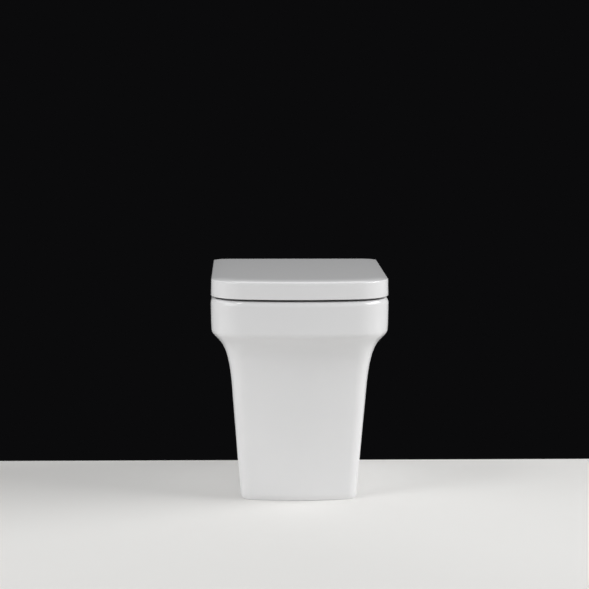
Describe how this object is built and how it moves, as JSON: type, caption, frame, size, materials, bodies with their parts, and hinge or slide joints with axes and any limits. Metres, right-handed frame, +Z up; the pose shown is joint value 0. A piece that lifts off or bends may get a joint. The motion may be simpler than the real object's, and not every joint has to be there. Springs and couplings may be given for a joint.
{
  "type": "back to wall toilet",
  "caption": "Back to wall toilet pan with a smooth full skirt, trap outlet and flush inlet at the back, and a soft-close seat and lid that lift and release.",
  "frame": {"origin": "middle of the footprint's bounding box, on the floor", "axes": "+X to the right as seen from the front, +Y towards the wall, +Z up"},
  "size_m": [0.35, 0.515, 0.455],
  "materials": {
    "vitreous_china": "white glaze, high gloss",
    "thermoset_white": "moulded white thermoset, polished",
    "soft_buffer": "satin, moulded",
    "black_rubber": "matt, moulded",
    "moulded_nut": "matt grey nylon",
    "zinc_plated_steel": "bright zinc plate",
    "stainless_steel": "turned stainless steel",
    "spring_steel": "drawn spring wire",
    "cap_white": "moulded, gloss",
    "bracket_plastic": "matt grey nylon",
    "hinge_chrome": "polished chrome plate on zinc",
    "damper_plastic": "matt black acetal",
    "button_grey": "satin grey"
  },
  "bodies": {
    "pan_body": {"pan_skirt": "vitreous_china", "pan_bowl": "vitreous_china", "pan_trap": "vitreous_china", "pan_inlet": "vitreous_china", "floor_bracket_left": "bracket_plastic", "floor_bracket_right": "bracket_plastic", "side_screws": "zinc_plated_steel", "side_screw_caps": "cap_white", "base_gaskets": "black_rubber", "hinge_base_left": "hinge_chrome", "hinge_base_right": "hinge_chrome", "pillar_bolts": "stainless_steel", "expanding_bungs": "black_rubber", "bung_nuts": "moulded_nut"},
    "hinge_bodies": {"hinge_body_left": "hinge_chrome", "hinge_body_right": "hinge_chrome", "seat_damper": "damper_plastic", "lid_damper": "damper_plastic", "catch_springs": "spring_steel"},
    "seat": {"seat_ring": "thermoset_white", "seat_buffers": "soft_buffer", "seat_damper_shaft": "stainless_steel", "seat_pin": "stainless_steel"},
    "lid": {"lid": "thermoset_white", "lid_buffers": "soft_buffer", "lid_damper_shaft": "stainless_steel", "lid_pin": "stainless_steel"},
    "button_left": {"release_button_left": "button_grey"},
    "button_right": {"release_button_right": "button_grey"}
  },
  "joints": [
    {"name": "seat_lift_off", "type": "slide", "parent": "pan_body", "child": "hinge_bodies", "axis": [0, 0, 1], "range_m": [0, 0.04]},
    {"name": "seat_lift", "type": "hinge", "parent": "hinge_bodies", "child": "seat", "pos_m": [0, 0.1615, 0.437], "axis": [-1, 0, 0], "range_deg": [0, 100]},
    {"name": "lid_lift", "type": "hinge", "parent": "seat", "child": "lid", "pos_m": [0, 0.1615, 0.437], "axis": [1, 0, 0], "range_deg": [-100, 0]},
    {"name": "release_left", "type": "slide", "parent": "hinge_bodies", "child": "button_left", "axis": [0, 1, 0], "range_m": [0, 0.0025], "stiffness_N_per_m": 800, "springref_m": -0.002, "deforming": ["catch_springs"]},
    {"name": "release_right", "type": "slide", "parent": "hinge_bodies", "child": "button_right", "axis": [0, 1, 0], "range_m": [0, 0.0025], "stiffness_N_per_m": 800, "springref_m": -0.002, "deforming": ["catch_springs"]}
  ]
}
